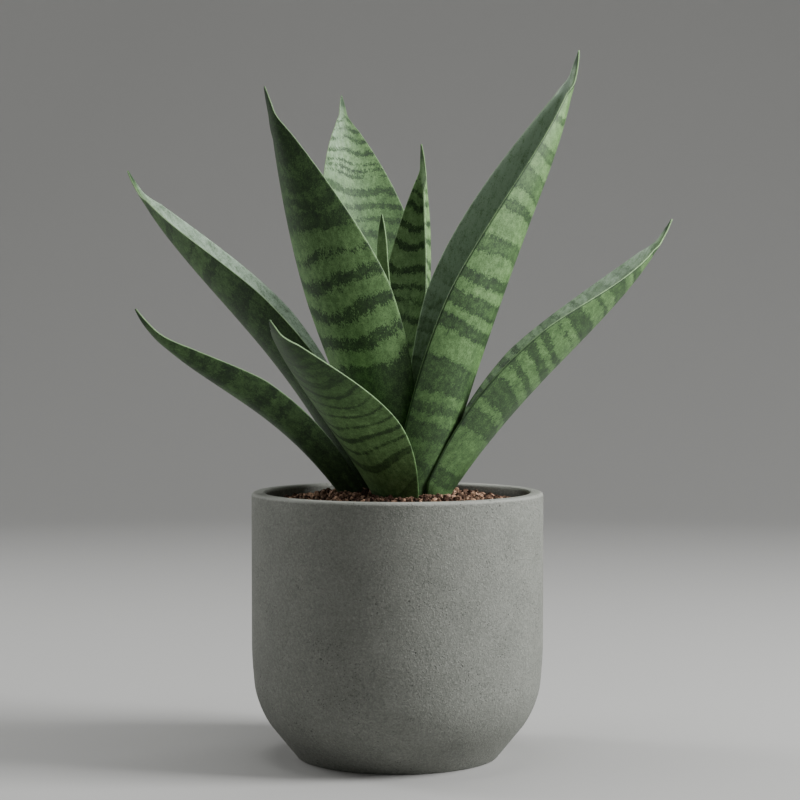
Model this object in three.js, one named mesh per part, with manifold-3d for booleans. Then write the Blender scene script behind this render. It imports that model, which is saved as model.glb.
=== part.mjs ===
// A potted snake plant: nine channelled, upright leaves rising from one rootstock, in a round
// concrete pot filled with potting mix and dressed with lava gravel.
// Units are millimetres, +Z is up, and the origin is the centre of the pot's flat foot.
// Azimuths turn anticlockwise from +X as seen from above. Leans are measured from the vertical.

import * as THREE from 'three';
import { mergeVertices } from 'three/addons/utils/BufferGeometryUtils.js';
import Module from 'manifold-3d';

// ---- Pot ----
const POT_HEIGHT = 127;
const POT_RADIUS = 70;
const POT_WALL = 7;
const RIM_FILLET = 1.7;
const WALL_FOOT = 56; // height where the upright wall starts to draw in
const DRAFT_RADIUS = 150;
const DRAFT_TURN = 5; // degrees
const BEND_START = 35.6;
const BEND_RADIUS = 38;
const FOOT_TURN = 39; // degrees between the foot cone and the vertical
const FOOT_FILLET = 1.2;
const FLOOR_HEIGHT = 9;
const FLOOR_FILLET = 5;
const POT_SIDES = 48;

// ---- Filling ----
const GAP = 0.3; // clearance between neighbouring solids
const MIX_TOP = 116;
const BED_RADIUS = POT_RADIUS - POT_WALL - GAP;
const DRESSING_EDGE = 120; // top of the gravel bed at the pot wall
const DRESSING_RISE = 7; // how much higher the bed is at the middle
const MOUND_CEILING = POT_HEIGHT + 10; // above every stone of the dressing
const STONE_COUNT = 105;
const STONE_SMALLEST = 4.8;
const STONE_LARGEST = 6.6;
const STONE_SINK = 1.6; // depth of a stone's centre below the bed
const STONE_SQUASH = 0.78;
const STONE_SEED = 7;

// ---- Rootstock ----
const CROWN_CENTRE = [-1, 8.5];
const CROWN_RADIUS = 31;
const CROWN_TOP = 109.5;
const CROWN_DEPTH = 15;
const CROWN_EDGE = 5;
const ROOT_COUNT = 6;
const ROOT_RADIUS = 2;
const ROOT_REACH = 16; // how far a root runs out beyond the crown
const ROOT_DROP = 58;

// ---- Leaves ----
const LEAF_FOOT_HEIGHT = 111;
const LEAF_TAIL = 5; // extra length below the foot, cut to the crown
const LEAF_EDGE = 0.8;
const LEAF_MIDDLE_AT_FOOT = 3;
const LEAF_MIDDLE_AT_TIP = 1.5;
const CUSP_LENGTH = 11; // the narrow point that ends every leaf
const CUSP_BLEND = 18;
const CUSP_HALF_WIDTH = 2.3;
const TIP_HALF_WIDTH = 0.45;
const TIP_FULLNESS = 0.85; // below 1 a blade stays fuller towards its point
const FLAT_BELOW = 8; // half width under which the channel opens out flat
const THIN_BELOW = 6; // half width under which the middle gets as thin as the margins
const NECK_LENGTH = 14; // a leaf narrows to its foot over this length, under the gravel
const NECK_SHARE = 0.45; // width at the foot over the width at the top of the neck
const BLADE_STEPS = 14;
const CUSP_STEPS = 4;
const ACROSS = [-1, -0.62, -0.3, 0, 0.3, 0.62, 1];

// foot: x and y of the leaf's middle line at LEAF_FOOT_HEIGHT
// azimuth: at the foot and at the tip; lean: four values from foot to tip, blended smoothly
// channel: how far the section curls from margin to margin, at the foot and at the tip
// twist: turn of the blade about its own middle line, at the foot and at the tip
// footShare: width at the foot over the greatest width, which lies at widestAt of the length
// taper: 1 narrows straight to the tip and 2 keeps its width for longer
const LEAVES = [
  { name: 'leaf_low_left', foot: [-17, 2.5], length: 156, width: 35,
    azimuth: [196, 216], lean: [35, 36, 89, 33], channel: [130, 75], twist: [-13, -10],
    footShare: 0.56, widestAt: 0.58, taper: 1.3 },
  { name: 'leaf_mid_left', foot: [-15.5, 20], length: 224, width: 68,
    azimuth: [170, 143], lean: [22, 38, 59, 33], channel: [145, 100], twist: [-19, -6],
    footShare: 0.48, widestAt: 0.52, taper: 1.45 },
  { name: 'leaf_front', foot: [-0.5, -18], length: 167, width: 56,
    azimuth: [224, 264], lean: [23, 60, 62, 69], channel: [75, 65], twist: [-3, 34],
    footShare: 0.4, widestAt: 0.4, taper: 1.7 },
  { name: 'leaf_tall_left', foot: [0, -7.5], length: 217, width: 63,
    azimuth: [215, 187], lean: [10, 33, 15, 14], channel: [125, 70], twist: [-32, -30],
    footShare: 0.28, widestAt: 0.54, taper: 1.5 },
  { name: 'leaf_back', foot: [-5.5, 33.5], length: 244, width: 63,
    azimuth: [112, 99], lean: [7, 25, 37, 29], channel: [110, 70], twist: [-5, -21],
    footShare: 0.38, widestAt: 0.58, taper: 1.65 },
  { name: 'leaf_middle', foot: [-2.5, 24], length: 194, width: 42,
    azimuth: [60, 69], lean: [-5, 46, 17, -19], channel: [105, 150], twist: [-7, 34],
    footShare: 0.34, widestAt: 0.62, taper: 1.9 },
  { name: 'leaf_new_spear', foot: [-1.5, 4.5], length: 150, width: 13,
    azimuth: [78, 74], lean: [-8, -15, -12, -2], channel: [160, 100], twist: [1, -4],
    footShare: 0.42, widestAt: 0.44, taper: 2.2 },
  { name: 'leaf_tall_right', foot: [9, -7.5], length: 245, width: 83,
    azimuth: [5, 33], lean: [31, -1, 40, 11], channel: [180, 180], twist: [15, -15],
    footShare: 0.54, widestAt: 0.46, taper: 1.4 },
  { name: 'leaf_low_right', foot: [16, -10.4], length: 207, width: 71,
    azimuth: [26, 33], lean: [34, 48, 60, 32], channel: [145, 75], twist: [31, 3],
    footShare: 0.36, widestAt: 0.52, taper: 1.4 },
];

const radians = THREE.MathUtils.degToRad;
const mix = THREE.MathUtils.lerp;

// ---- Solids ----

const wasm = await Module();
wasm.setup();

function toSolid(geometry) {
  const bare = geometry.clone();
  bare.deleteAttribute('normal');
  bare.deleteAttribute('uv');
  const merged = mergeVertices(bare, 1e-4);
  return new wasm.Manifold(new wasm.Mesh({
    numProp: 3,
    vertProperties: new Float32Array(merged.attributes.position.array),
    triVerts: new Uint32Array(merged.index.array),
  }));
}

function toGeometry(solid) {
  const mesh = solid.getMesh();
  const geometry = new THREE.BufferGeometry();
  geometry.setAttribute('position', new THREE.BufferAttribute(mesh.vertProperties, 3));
  geometry.setIndex(new THREE.BufferAttribute(mesh.triVerts, 1));
  geometry.computeVertexNormals();
  return geometry;
}

function largestPiece(solid) {
  return solid.decompose().reduce((best, piece) => (piece.volume() > best.volume() ? piece : best));
}

// A seeded random source, so that every build is the same.
function randomSource(seed) {
  let state = seed;
  return () => {
    state = (state * 1664525 + 1013904223) % 4294967296;
    return state / 4294967296;
  };
}

// ---- Pot outlines ----

// Walks down an outline of straight runs and arcs. Heading 0 points down and grows inwards.
function walkOutline(start, steps) {
  const points = [start.clone()];
  const at = start.clone();
  let heading = 0;
  for (const step of steps) {
    const segments = step.segments ?? 1;
    const turn = radians(step.turn ?? 0) / segments;
    for (let i = 0; i < segments; i += 1) {
      const length = step.radius ? 2 * step.radius * Math.sin(turn / 2) : step.run;
      heading += turn / 2;
      at.x -= length * Math.sin(heading);
      at.y -= length * Math.cos(heading);
      heading += turn / 2;
      points.push(at.clone());
    }
  }
  return points;
}

// The wall's outline at an inward offset, from a height near the rim down to the axis.
function wallOutline(offset, top, bottom, bottomFillet) {
  const draft = radians(DRAFT_TURN);
  const draftDrop = DRAFT_RADIUS * Math.sin(draft);
  const straight = (WALL_FOOT - draftDrop - BEND_START) / Math.cos(draft);
  const upper = [
    { run: top - WALL_FOOT },
    { radius: DRAFT_RADIUS - offset, turn: DRAFT_TURN },
    { run: straight },
    { radius: BEND_RADIUS - offset, turn: FOOT_TURN - DRAFT_TURN, segments: 5 },
  ];
  const start = new THREE.Vector2(POT_RADIUS - offset, top);
  const foot = walkOutline(start, upper).at(-1);
  const filletDrop = bottomFillet * (1 - Math.sin(radians(FOOT_TURN)));
  const cone = (foot.y - bottom - filletDrop) / Math.cos(radians(FOOT_TURN));
  const outline = walkOutline(start, [
    ...upper,
    { run: cone },
    { radius: bottomFillet, turn: 90 - FOOT_TURN, segments: 2 },
  ]);
  outline.at(-1).y = bottom;
  outline.push(new THREE.Vector2(0, bottom));
  return outline;
}

function potGeometry() {
  const shoulder = POT_HEIGHT - RIM_FILLET;
  const outside = wallOutline(0, shoulder, 0, FOOT_FILLET).reverse();
  const inside = wallOutline(POT_WALL, shoulder, FLOOR_HEIGHT, FLOOR_FILLET);
  const bevel = RIM_FILLET * (1 - Math.SQRT1_2);
  const rim = [
    new THREE.Vector2(POT_RADIUS - bevel, POT_HEIGHT - bevel),
    new THREE.Vector2(POT_RADIUS - RIM_FILLET, POT_HEIGHT),
    new THREE.Vector2(POT_RADIUS - POT_WALL + RIM_FILLET, POT_HEIGHT),
    new THREE.Vector2(POT_RADIUS - POT_WALL + bevel, POT_HEIGHT - bevel),
  ];
  return new THREE.LatheGeometry([...outside, ...rim, ...inside], POT_SIDES).rotateX(Math.PI / 2);
}

// ---- Rootstock ----

function crownGeometry(grow) {
  const radius = CROWN_RADIUS + grow;
  const top = CROWN_TOP + grow;
  const bottom = CROWN_TOP - CROWN_DEPTH - grow;
  const edge = new THREE.Path();
  edge.moveTo(0, bottom);
  edge.lineTo(radius - CROWN_EDGE, bottom);
  edge.absarc(radius - CROWN_EDGE, bottom + CROWN_EDGE, CROWN_EDGE, -Math.PI / 2, 0);
  edge.absarc(radius - CROWN_EDGE, top - CROWN_EDGE, CROWN_EDGE, 0, Math.PI / 2);
  edge.lineTo(0, top);
  return new THREE.LatheGeometry(edge.getPoints(2), 24)
    .rotateX(Math.PI / 2)
    .translate(CROWN_CENTRE[0], CROWN_CENTRE[1], 0);
}

function rootGeometry(index, grow) {
  const angle = (index / ROOT_COUNT) * 2 * Math.PI;
  const reach = ROOT_REACH * (0.75 + 0.25 * Math.cos(2.4 * index));
  const drop = ROOT_DROP * (0.85 + 0.15 * Math.sin(1.7 * index)) + grow;
  const place = (distance, height) => new THREE.Vector3(
    CROWN_CENTRE[0] + distance * Math.cos(angle),
    CROWN_CENTRE[1] + distance * Math.sin(angle),
    height,
  );
  const start = CROWN_TOP - CROWN_DEPTH / 2;
  const path = new THREE.QuadraticBezierCurve3(
    place(CROWN_RADIUS - CROWN_EDGE, start),
    place(CROWN_RADIUS + reach, start - 4),
    place(CROWN_RADIUS + reach, start - drop),
  );
  const section = new THREE.Shape().absarc(0, 0, ROOT_RADIUS + grow, 0, 2 * Math.PI);
  return new THREE.ExtrudeGeometry(section, { extrudePath: path, steps: 5, curveSegments: 3 });
}

function rootstockSolid(grow) {
  const pieces = [toSolid(crownGeometry(grow))];
  for (let i = 0; i < ROOT_COUNT; i += 1) {
    pieces.push(toSolid(rootGeometry(i, grow)));
  }
  return wasm.Manifold.union(pieces);
}

// ---- Leaves ----

function blendLean([foot, lower, upper, tip], share) {
  const rest = 1 - share;
  return foot * rest ** 3
    + 3 * lower * share * rest ** 2
    + 3 * upper * share ** 2 * rest
    + tip * share ** 3;
}

// Directions at a share of the length: along the leaf, across it, and out of its inner face.
function leafDirections(leaf, share) {
  const s = Math.max(share, 0);
  const lean = radians(blendLean(leaf.lean, s));
  const azimuth = radians(mix(...leaf.azimuth, s));
  const twist = radians(mix(...leaf.twist, s));
  const outward = new THREE.Vector3(Math.cos(azimuth), Math.sin(azimuth), 0);
  const level = new THREE.Vector3(-Math.sin(azimuth), Math.cos(azimuth), 0);
  const up = new THREE.Vector3(0, 0, 1);
  const along = up.clone().multiplyScalar(Math.cos(lean)).addScaledVector(outward, Math.sin(lean));
  const facing = up.clone().multiplyScalar(Math.sin(lean)).addScaledVector(outward, -Math.cos(lean));
  return {
    along,
    across: level.clone().multiplyScalar(Math.cos(twist)).addScaledVector(facing, -Math.sin(twist)),
    inner: facing.clone().multiplyScalar(Math.cos(twist)).addScaledVector(level, Math.sin(twist)),
  };
}

// Points of the middle line, found by following the leaf's direction in short steps.
function middleLine(leaf, shares) {
  const step = 1;
  const at = new THREE.Vector3(leaf.foot[0], leaf.foot[1], LEAF_FOOT_HEIGHT);
  let travelled = 0;
  return shares.map((share) => {
    const target = share * leaf.length;
    while (Math.abs(target - travelled) > 1e-6) {
      const run = Math.sign(target - travelled) * Math.min(step, Math.abs(target - travelled));
      const middle = (travelled + run / 2) / leaf.length;
      at.addScaledVector(leafDirections(leaf, middle).along, run);
      travelled += run;
    }
    return at.clone();
  });
}

function halfWidth(leaf, share) {
  const bladeShare = THREE.MathUtils.clamp(share / (1 - CUSP_LENGTH / leaf.length), 0, 1);
  const rise = Math.sin((Math.PI / 2) * Math.min(bladeShare / leaf.widestAt, 1));
  const past = Math.max(bladeShare - leaf.widestAt, 0) / (1 - leaf.widestAt);
  const neck = mix(NECK_SHARE, 1, Math.min((share * leaf.length) / NECK_LENGTH, 1));
  const narrowing = (1 - past ** leaf.taper) ** TIP_FULLNESS;
  const fullness = mix(leaf.footShare, 1, rise) * narrowing * neck;
  const toTip = THREE.MathUtils.clamp(((1 - share) * leaf.length) / CUSP_BLEND, 0, 1);
  const cusp = CUSP_HALF_WIDTH * Math.sin((Math.PI / 2) * toTip) + TIP_HALF_WIDTH;
  return Math.hypot(((leaf.width / 2) * fullness) ** 2, cusp ** 2) ** 0.5;
}

// A point of the channelled section, for a half width of one: sideways offset, rise and slope.
function channelPoint(u, curl) {
  const steps = 12;
  const slopeAt = (v) => (curl / 2) * (1.5 * v - 0.5 * v ** 3);
  let side = 0;
  let rise = 0;
  for (let i = 0; i < steps; i += 1) {
    const slope = slopeAt(((i + 0.5) / steps) * u);
    side += (Math.cos(slope) * u) / steps;
    rise += (Math.sin(slope) * u) / steps;
  }
  return { side, rise, slope: slopeAt(u) };
}

function leafShares(leaf, grow) {
  const shares = [-(LEAF_TAIL + grow) / leaf.length, 0];
  const neckEnd = NECK_LENGTH / leaf.length;
  const bladeEnd = 1 - CUSP_BLEND / leaf.length;
  for (let i = 0; i <= BLADE_STEPS; i += 1) {
    shares.push(mix(neckEnd, bladeEnd, i / BLADE_STEPS));
  }
  for (let i = 1; i <= CUSP_STEPS; i += 1) {
    shares.push(mix(bladeEnd, 1, i / CUSP_STEPS));
  }
  return shares;
}

// Both faces of a leaf as rows of points, one row for each share of the length. The outer face
// follows the section, and the thickness lies inside it. Growing moves the faces and the margins
// outwards, which makes the pocket that a leaf stands in.
function leafFaces(leaf, grow) {
  const shares = leafShares(leaf, grow);
  const line = middleLine(leaf, shares);
  const faces = { inner: [], outer: [] };
  shares.forEach((share, i) => {
    const s = Math.max(share, 0);
    const { across, inner } = leafDirections(leaf, share);
    const half = halfWidth(leaf, s);
    const curl = radians(mix(...leaf.channel, s)) * Math.min(half / FLAT_BELOW, 1);
    const fullSwell = mix(LEAF_MIDDLE_AT_FOOT, LEAF_MIDDLE_AT_TIP, s) - LEAF_EDGE;
    const swell = fullSwell * Math.min(half / THIN_BELOW, 1);
    const rows = { inner: [], outer: [] };
    for (const u of ACROSS) {
      const { side, rise, slope } = channelPoint(u, curl);
      const marginShift = grow * Math.trunc(u);
      const point = line[i].clone()
        .addScaledVector(across, side * half + marginShift * Math.cos(slope))
        .addScaledVector(inner, rise * half + marginShift * Math.sin(slope));
      const normal = inner.clone().multiplyScalar(Math.cos(slope))
        .addScaledVector(across, -Math.sin(slope));
      const thickness = LEAF_EDGE + swell * (1 - u ** 2);
      rows.inner.push(point.clone().addScaledVector(normal, thickness + grow));
      rows.outer.push(point.clone().addScaledVector(normal, -grow));
    }
    faces.inner.push(rows.inner);
    faces.outer.push(rows.outer);
  });
  return faces;
}

// A closed leaf. Both faces are split along the same diagonals, so they never cross.
function leafGeometry(leaf, grow) {
  const { inner, outer } = leafFaces(leaf, grow);
  const rows = inner.length;
  const columns = ACROSS.length;
  const positions = [...inner.flat(), ...outer.flat()].flatMap((point) => point.toArray());
  const on = (i, j) => i * columns + j;
  const under = (i, j) => (rows + i) * columns + j;
  const index = [];
  const quad = (a, b, c, d) => index.push(a, b, c, a, c, d);
  for (let i = 0; i < rows - 1; i += 1) {
    for (let j = 0; j < columns - 1; j += 1) {
      index.push(on(i, j), on(i + 1, j + 1), on(i, j + 1));
      index.push(on(i, j), on(i + 1, j), on(i + 1, j + 1));
      quad(under(i, j), under(i, j + 1), under(i + 1, j + 1), under(i + 1, j));
    }
    quad(on(i, 0), under(i, 0), under(i + 1, 0), on(i + 1, 0));
    quad(under(i, columns - 1), on(i, columns - 1), on(i + 1, columns - 1), under(i + 1, columns - 1));
  }
  for (let j = 0; j < columns - 1; j += 1) {
    quad(under(0, j), on(0, j), on(0, j + 1), under(0, j + 1));
    quad(on(rows - 1, j), under(rows - 1, j), under(rows - 1, j + 1), on(rows - 1, j + 1));
  }
  const geometry = new THREE.BufferGeometry();
  geometry.setAttribute('position', new THREE.Float32BufferAttribute(positions, 3));
  geometry.setIndex(index);
  return geometry;
}

// ---- Filling ----

function bedHeight(radius) {
  return DRESSING_EDGE + DRESSING_RISE * (1 - (radius / BED_RADIUS) ** 2);
}

// A round block that fills the pot from the potting mix up to the given outline.
function roundBlock(outline) {
  const bottom = MIX_TOP + GAP;
  const points = [new THREE.Vector2(0, bottom), new THREE.Vector2(BED_RADIUS, bottom), ...outline];
  return toSolid(new THREE.LatheGeometry(points, POT_SIDES).rotateX(Math.PI / 2));
}

// Stones of the dressing: angular pebbles on a sunflower spiral, larger than life.
function stones() {
  const random = randomSource(STONE_SEED);
  const reach = BED_RADIUS - STONE_SMALLEST;
  const goldenAngle = Math.PI * (3 - Math.sqrt(5));
  const pieces = [];
  for (let i = 0; i < STONE_COUNT; i += 1) {
    const radius = reach * Math.sqrt((i + 0.5) / STONE_COUNT);
    const angle = i * goldenAngle;
    const size = mix(STONE_SMALLEST, STONE_LARGEST, random());
    const turn = new THREE.Euler(random() * 6.3, random() * 6.3, random() * 6.3);
    const stone = new THREE.OctahedronGeometry(size, 0)
      .applyQuaternion(new THREE.Quaternion().setFromEuler(turn))
      .scale(1, 1, STONE_SQUASH)
      .translate(radius * Math.cos(angle), radius * Math.sin(angle), bedHeight(radius) - STONE_SINK);
    pieces.push(toSolid(stone));
  }
  return wasm.Manifold.union(pieces);
}

function gravelSolid(holes) {
  const mound = [1, 0.75, 0.5, 0.25, 0].map(
    (share) => new THREE.Vector2(share * BED_RADIUS, bedHeight(share * BED_RADIUS)),
  );
  const bed = roundBlock(mound);
  const insidePot = roundBlock([
    new THREE.Vector2(BED_RADIUS, MOUND_CEILING),
    new THREE.Vector2(0, MOUND_CEILING),
  ]);
  return largestPiece(bed.add(stones()).intersect(insidePot).subtract(holes));
}

function pottingMixSolid(holes) {
  const outline = wallOutline(POT_WALL + GAP, MIX_TOP, FLOOR_HEIGHT + GAP, FLOOR_FILLET);
  const closed = [new THREE.Vector2(0, MIX_TOP), ...outline].reverse();
  const body = toSolid(new THREE.LatheGeometry(closed, POT_SIDES).rotateX(Math.PI / 2));
  return largestPiece(body.subtract(holes));
}

// ---- Assembly ----

function mesh(name, geometry, color, roughness) {
  const material = new THREE.MeshStandardMaterial({ color, roughness, metalness: 0 });
  const piece = new THREE.Mesh(geometry, material);
  piece.name = name;
  return piece;
}

const crownPocket = rootstockSolid(GAP);
const leafPockets = wasm.Manifold.union(LEAVES.map((leaf) => toSolid(leafGeometry(leaf, GAP))));
const plant = new THREE.Group();
plant.add(mesh('pot', potGeometry(), 0x8b8b88, 0.9));
plant.add(mesh('potting_mix', toGeometry(pottingMixSolid(leafPockets.add(crownPocket))), 0x2e231c, 1));
plant.add(mesh('gravel', toGeometry(gravelSolid(leafPockets)), 0x5b3a30, 0.95));
plant.add(mesh('rootstock', toGeometry(rootstockSolid(0)), 0xb9743c, 0.8));
for (const leaf of LEAVES) {
  const solid = toSolid(leafGeometry(leaf, 0)).subtract(crownPocket);
  plant.add(mesh(leaf.name, toGeometry(largestPiece(solid)), 0x4f7048, 0.5));
}

export default plant;
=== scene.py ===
import math
import random

import bmesh
import bpy
from mathutils import Euler, Matrix, Vector
from mathutils.bvhtree import BVHTree


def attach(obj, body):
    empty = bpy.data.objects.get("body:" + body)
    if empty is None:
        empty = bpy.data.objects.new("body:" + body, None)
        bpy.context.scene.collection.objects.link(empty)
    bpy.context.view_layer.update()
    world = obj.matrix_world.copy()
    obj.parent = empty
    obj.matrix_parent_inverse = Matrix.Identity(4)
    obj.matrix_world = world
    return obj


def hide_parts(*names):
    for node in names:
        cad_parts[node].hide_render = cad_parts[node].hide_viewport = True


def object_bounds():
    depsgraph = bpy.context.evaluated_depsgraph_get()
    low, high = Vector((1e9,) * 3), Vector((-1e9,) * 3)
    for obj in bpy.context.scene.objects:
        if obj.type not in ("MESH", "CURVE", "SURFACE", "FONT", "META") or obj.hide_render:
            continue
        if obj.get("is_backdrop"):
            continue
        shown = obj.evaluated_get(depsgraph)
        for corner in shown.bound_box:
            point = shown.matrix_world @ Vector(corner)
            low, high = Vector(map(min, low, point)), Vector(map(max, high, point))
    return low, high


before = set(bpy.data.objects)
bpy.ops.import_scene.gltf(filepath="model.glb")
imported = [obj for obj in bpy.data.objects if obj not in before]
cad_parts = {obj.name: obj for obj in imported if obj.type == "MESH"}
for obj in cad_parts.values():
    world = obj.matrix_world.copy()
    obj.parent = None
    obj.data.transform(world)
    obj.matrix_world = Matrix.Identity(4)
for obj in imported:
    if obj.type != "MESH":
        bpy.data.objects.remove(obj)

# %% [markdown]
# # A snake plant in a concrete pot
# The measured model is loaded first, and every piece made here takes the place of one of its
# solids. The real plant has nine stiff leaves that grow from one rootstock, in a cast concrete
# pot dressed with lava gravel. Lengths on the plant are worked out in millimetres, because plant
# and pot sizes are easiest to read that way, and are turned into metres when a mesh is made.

MM = 0.001
measured_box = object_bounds()
print("nodes:", sorted(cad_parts))

# %% [markdown]
# ## Camera
# A long lens flattens the view, so that near and far leaves keep their true proportions. The
# camera stands a metre away, a little above the rim of the pot, and looks slightly down, so that a
# sliver of gravel shows.

# %% Camera
CAMERA_PLACE = (1.24, -1000, 202)
CAMERA_DIP = 1.78
LENS = 93.74
SENSOR_WIDTH = 36

camera_data = bpy.data.cameras.new("camera")
camera_data.lens = LENS
camera_data.sensor_width = SENSOR_WIDTH
camera = bpy.data.objects.new("camera", camera_data)
camera.location = Vector(CAMERA_PLACE) * MM
camera.rotation_euler = (math.radians(90 - CAMERA_DIP), 0, 0)
bpy.context.scene.collection.objects.link(camera)
bpy.context.scene.camera = camera
print("camera lens:", LENS, "mm")

# %% [markdown]
# ## Shader writing
# A finish is a tree of nodes, which is slow to write one link at a time. A Wire is the output of a
# node. It knows plus, minus and times, so that a sum on wires adds the Math nodes by itself, and
# its between() gives the smooth step that turns a noise or a distance into a mask.

# %% Wires
class Wire:
    """An output of a node. Sums and products of wires add Math nodes."""

    def __init__(self, finish, socket):
        self.finish = finish
        self.socket = socket

    def math(self, operation, *others):
        inputs = dict(enumerate((self,) + others))
        return self.finish.node("ShaderNodeMath", {"operation": operation}, inputs)

    def __add__(self, other):
        return self.math("ADD", other)

    def __radd__(self, other):
        return self.math("ADD", other)

    def __mul__(self, other):
        return self.math("MULTIPLY", other)

    def __rmul__(self, other):
        return self.math("MULTIPLY", other)

    def __sub__(self, other):
        return self.math("SUBTRACT", other)

    def __rsub__(self, other):
        return self.finish.node("ShaderNodeMath", {"operation": "SUBTRACT"}, {0: other, 1: self})

    def between(self, low, high):
        """0 below low, 1 above high and a smooth step from one to the other."""
        settings = {"interpolation_type": "SMOOTHSTEP"}
        inputs = {"Value": self, "From Min": low, "From Max": high}
        return self.finish.node("ShaderNodeMapRange", settings, inputs)


print("a wire knows:", "+ - * and between")

# %% [markdown]
# A colour is easiest to pick as it looks on a screen, with values from 0 to 255. The shader counts
# light instead, where half the value is far less than half the light. So every colour below is
# picked for the screen and turned into light by the curve that screens use.

# %% Colours
def colour(red, green, blue):
    """The shader's colour for screen values from 0 to 255."""
    def straight(value):
        share = value / 255
        return share / 12.92 if share <= 0.04045 else ((share + 0.055) / 1.055) ** 2.4
    return (straight(red), straight(green), straight(blue), 1)


print("mid grey for the shader:", colour(128, 128, 128))

# %% [markdown]
# A Finish owns a material and its tree. One method, node(), makes every kind of node, and the
# methods after it only give the common kinds a short name. Materials that are written this way
# read like a recipe: a ground, what lies over it, and how much of it.

# %% Finishes
class Finish:
    """A material and its tree of nodes."""

    def __init__(self, name, **constants):
        self.material = bpy.data.materials.new(name)
        self.material.use_nodes = True
        self.tree = self.material.node_tree
        self.shader = self.tree.nodes["Principled BSDF"]
        for socket, value in constants.items():
            self.shader.inputs[socket.replace("_", " ")].default_value = value

    def node(self, kind, settings=None, inputs=None, output=0):
        """Adds a node, gives it its settings, then values or wires for its sockets."""
        made = self.tree.nodes.new(kind)
        for key, value in (settings or {}).items():
            if key == "stops":
                self.set_stops(made.color_ramp, value)
            else:
                setattr(made, key, value)
        for key, value in (inputs or {}).items():
            self.feed(made.inputs[key], value)
        return Wire(self, made.outputs[output])

    def set_stops(self, ramp, stops):
        while len(ramp.elements) < len(stops):
            ramp.elements.new(1)
        for element, (place, value) in zip(ramp.elements, stops):
            element.position = place
            element.color = value

    def feed(self, socket, value):
        if isinstance(value, Wire):
            self.tree.links.new(value.socket, socket)
        else:
            socket.default_value = value

    def surface(self, **wires):
        """Feeds the shader's sockets, with _ for a space in a name, and gives the material."""
        for name, wire in wires.items():
            self.feed(self.shader.inputs[name.replace("_", " ")], wire)
        return self.material

    def place(self):
        """Where a point lies on the object, in metres."""
        return self.node("ShaderNodeTexCoord", output="Object")

    def reading(self, name):
        """A number that the mesh carries at its points."""
        return self.node("ShaderNodeAttribute", {"attribute_name": name}, output="Fac")

    def spot(self, x, y, z):
        return self.node("ShaderNodeCombineXYZ", inputs={"X": x, "Y": y, "Z": z})

    def cloud(self, where, scale=1, detail=2, roughness=0.5):
        """Soft noise around 0.5."""
        inputs = {"Vector": where, "Scale": scale, "Detail": detail, "Roughness": roughness}
        return self.node("ShaderNodeTexNoise", inputs=inputs)

    def pits(self, where, scale, inner, outer):
        """1 in small round spots, one to each Voronoi cell, and 0 around them."""
        inputs = {"Vector": where, "Scale": scale, "Randomness": 1}
        cells = self.node("ShaderNodeTexVoronoi", {"feature": "F1"}, inputs)
        return 1 - cells.between(inner, outer)

    def blend(self, share, first, second):
        """The first colour where share is 0 and the second where it is 1."""
        inputs = {0: share, 6: first, 7: second}
        return self.node("ShaderNodeMix", {"data_type": "RGBA"}, inputs, output=2)

    def relief(self, height, depth, strength):
        inputs = {"Height": height, "Distance": depth, "Strength": strength}
        return self.node("ShaderNodeBump", inputs=inputs)


print("a finish makes:", "place, reading, spot, cloud, pits, blend and relief")

# %% [markdown]
# ## Stage
# The floor is a shallow pale bowl, much wider than the plant, whose side climbs in a smooth curve.
# It shows no corner or horizon from any side, so nothing but the plant draws the eye. A flat plane
# would end in a hard line behind the pot.
# The helpers draw an outline, round a corner of it, spin it round, and make an object of the
# result. The pot and the gravel bed are made with them too.

# %% Stage
# in metres
FLOOR_RADIUS = 2.2
WALL_CURVE = 0.9
WALL_TOP = 2.6
WALL_CURVE_STEPS = 16
MERGE_GAP = 1e-6
ROUND_PROFILE = 0.5
BOWL_STEPS = 96


def wire_path(body, points):
    """An open chain of edges through points of the XZ plane."""
    corners = [body.verts.new((x, 0, z)) for x, z in points]
    for first, second in zip(corners, corners[1:]):
        body.edges.new((first, second))
    return corners


def round_corner(body, corner, reach, steps):
    """Replaces a corner of the chain by an arc that reaches that far along its two sides."""
    bmesh.ops.bevel(body, geom=[corner], offset=reach, segments=steps, profile=ROUND_PROFILE,
                    affect="VERTICES", material=-1)


def spin_round(body, steps):
    """Sweeps the chain of edges once round the Z axis and closes the seam and the poles."""
    geometry = body.verts[:] + body.edges[:]
    bmesh.ops.spin(body, geom=geometry, cent=(0, 0, 0), axis=(0, 0, 1),
                   angle=2 * math.pi, steps=steps, use_merge=True)
    bmesh.ops.remove_doubles(body, verts=body.verts, dist=MERGE_GAP)
    bmesh.ops.recalc_face_normals(body, faces=body.faces)


def piece_from(body, name, material, smooth=True):
    """Turns a bmesh into an object of the scene."""
    mesh = bpy.data.meshes.new(name)
    body.to_mesh(mesh)
    body.free()
    if smooth:
        mesh.shade_smooth()
    mesh.materials.append(material)
    piece = bpy.data.objects.new(name, mesh)
    bpy.context.scene.collection.objects.link(piece)
    return piece


stage_paper = Finish("stage_paper", Roughness=0.9, Base_Color=colour(164, 164, 162))
bowl = bmesh.new()
bowl_corners = wire_path(bowl, [(0, 0), (FLOOR_RADIUS, 0), (FLOOR_RADIUS, WALL_TOP)])
round_corner(bowl, bowl_corners[1], WALL_CURVE, WALL_CURVE_STEPS)
spin_round(bowl, BOWL_STEPS)
floor = piece_from(bowl, "stage_bowl", stage_paper.material)
floor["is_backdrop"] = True
print("stage:", len(floor.data.polygons), "faces")

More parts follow.
